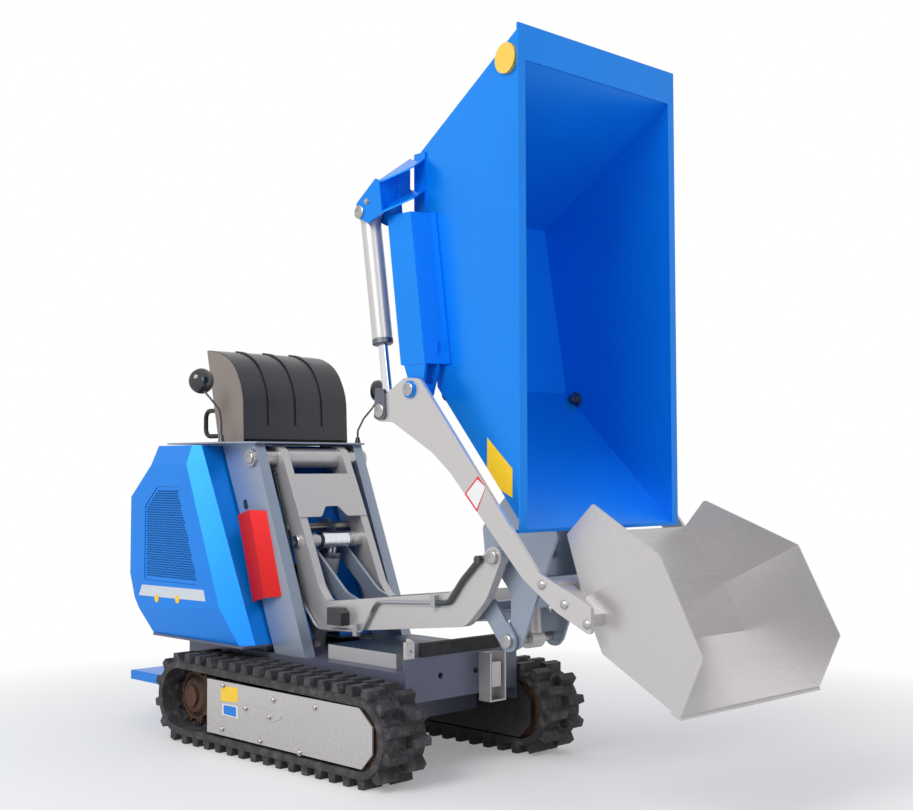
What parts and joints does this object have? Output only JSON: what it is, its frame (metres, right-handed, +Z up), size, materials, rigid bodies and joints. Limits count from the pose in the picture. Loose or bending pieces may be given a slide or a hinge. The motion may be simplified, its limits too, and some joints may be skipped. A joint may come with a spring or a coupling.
{
  "type": "tracked site dumper",
  "caption": "Compact rubber-tracked site dumper with a high-tip skip on lift arms, a self-loading front shovel, an engine at the rear and a fold-up operator platform.",
  "frame": {"origin": "centre of the footprint of the whole machine as it stands in the picture, on the ground", "axes": "+X is the way the machine drives, +Y its left side, +Z up"},
  "size_m": [2.874, 0.92, 2.308],
  "materials": {
    "bare_steel": "machined",
    "black_paint": "satin black paint",
    "black_plastic": "matt black moulding",
    "black_rubber": "matt rubber",
    "blue_paint": "semi-gloss blue paint",
    "cast_steel": "cast and machined",
    "chrome_rod": "hard-chromed",
    "deep_blue_paint": "satin dark blue-grey paint",
    "engine_metal": "cast",
    "lamp_black": "matt black",
    "red_paint": "semi-gloss red paint",
    "silver_paint": "semi-gloss silver-grey paint",
    "track_rubber": "matt rubber",
    "yellow_reflector": "glossy yellow"
  },
  "bodies": {
    "machine_frame": {"track_left": "track_rubber", "track_right": "track_rubber", "track_rollers": "cast_steel", "sprockets": "cast_steel", "drive_motors": "cast_steel", "track_frames": "black_paint", "side_covers": "silver_paint", "bumper_strip": "black_rubber", "tie_down_lugs": "silver_paint", "hose_bracket": "silver_paint", "deck_box": "deep_blue_paint", "mast_posts": "silver_paint", "mast_top_plate": "silver_paint", "mast_shafts": "bare_steel", "mast_guards": "red_paint", "chassis": "silver_paint", "engine_block": "engine_metal", "engine_cover": "blue_paint", "engine_grilles": "blue_paint", "console_cover": "black_plastic", "console_sides": "silver_paint", "control_levers": "black_plastic", "control_console": "black_paint", "mirrors": "black_plastic", "platform_bracket": "black_paint"},
    "arms": {"lift_arms": "silver_paint", "arm_lines": "black_rubber", "work_lamp": "lamp_black"},
    "carriage": {"tilt_carriage": "silver_paint", "carriage_pins": "bare_steel"},
    "level_link": {"levelling_link": "silver_paint"},
    "lift_cylinder_barrel": {"lift_barrel": "silver_paint"},
    "lift_cylinder_rod": {"lift_rod": "chrome_rod"},
    "tip_cylinder_barrel": {"tip_barrel": "silver_paint"},
    "tip_cylinder_rod": {"tip_rod": "chrome_rod"},
    "skip": {"skip_body": "blue_paint", "skip_lugs": "blue_paint", "skip_brackets": "blue_paint", "reflectors": "yellow_reflector"},
    "loader": {"loader_arms": "silver_paint", "shovel": "silver_paint"},
    "loader_cylinder_barrels": {"loader_barrels": "silver_paint"},
    "loader_cylinder_rods": {"loader_rods": "chrome_rod"},
    "platform": {"operator_platform": "blue_paint"}
  },
  "joints": [
    {"name": "lift", "type": "hinge", "parent": "machine_frame", "child": "arms", "pos_m": [-0.63705, 0, 1.046], "axis": [0, -1, 0], "range_deg": [0, 50]},
    {"name": "carriage_level", "type": "hinge", "parent": "arms", "child": "carriage", "pos_m": [0.51895, 0, 0.725], "axis": [0, -1, 0], "range_deg": [-50, 0]},
    {"name": "link_swing", "type": "hinge", "parent": "machine_frame", "child": "level_link", "pos_m": [-0.62105, 0, 0.781], "axis": [0, -1, 0], "range_deg": [0, 50]},
    {"name": "lift_barrel_swing", "type": "hinge", "parent": "machine_frame", "child": "lift_cylinder_barrel", "pos_m": [-0.61705, 0, 0.25], "axis": [0, -1, 0], "range_deg": [-11.23, 0]},
    {"name": "lift_rod_slide", "type": "slide", "parent": "lift_cylinder_barrel", "child": "lift_cylinder_rod", "axis": [0.2611, 0, 0.9653], "range_m": [0, 0.27696]},
    {"name": "tip", "type": "hinge", "parent": "carriage", "child": "skip", "pos_m": [0.62295, 0, 0.99], "axis": [0, -1, 0], "range_deg": [0, 90]},
    {"name": "tip_barrel_swing", "type": "hinge", "parent": "carriage", "child": "tip_cylinder_barrel", "pos_m": [0.53495, 0, 0.46], "axis": [0, -1, 0], "range_deg": [0, 1.48]},
    {"name": "tip_rod_slide", "type": "slide", "parent": "tip_cylinder_barrel", "child": "tip_cylinder_rod", "axis": [-0.0515, 0, 0.9987], "range_m": [-0.22328, 0]},
    {"name": "shovel", "type": "hinge", "parent": "skip", "child": "loader", "pos_m": [0.40095, 0, 1.25], "axis": [0, -1, 0], "range_deg": [-26, 45]},
    {"name": "loader_barrels_swing", "type": "hinge", "parent": "skip", "child": "loader_cylinder_barrels", "pos_m": [0.16695, 0, 1.835], "axis": [0, -1, 0], "range_deg": [-2.43, 4.2]},
    {"name": "loader_rods_slide", "type": "slide", "parent": "loader_cylinder_barrels", "child": "loader_cylinder_rods", "axis": [0.1468, 0, -0.9892], "range_m": [-0.06322, 0.10941]},
    {"name": "platform", "type": "hinge", "parent": "machine_frame", "child": "platform", "pos_m": [-1.12705, 0, 0.165], "axis": [0, 1, 0], "range_deg": [0, 70]}
  ],
  "couplings": [
    {"joint": "carriage_level", "follows": "lift", "ratio": -1},
    {"joint": "link_swing", "follows": "lift", "ratio": 1},
    {"joint": "lift_barrel_swing", "follows": "lift", "ratio": -0.21385},
    {"joint": "lift_rod_slide", "follows": "lift", "m_per_rad": 0.30224},
    {"joint": "tip_barrel_swing", "follows": "tip", "ratio": 0.015698},
    {"joint": "tip_rod_slide", "follows": "tip", "m_per_rad": -0.13537},
    {"joint": "loader_barrels_swing", "follows": "shovel", "ratio": 0.088969},
    {"joint": "loader_rods_slide", "follows": "shovel", "m_per_rad": 0.13267}
  ]
}
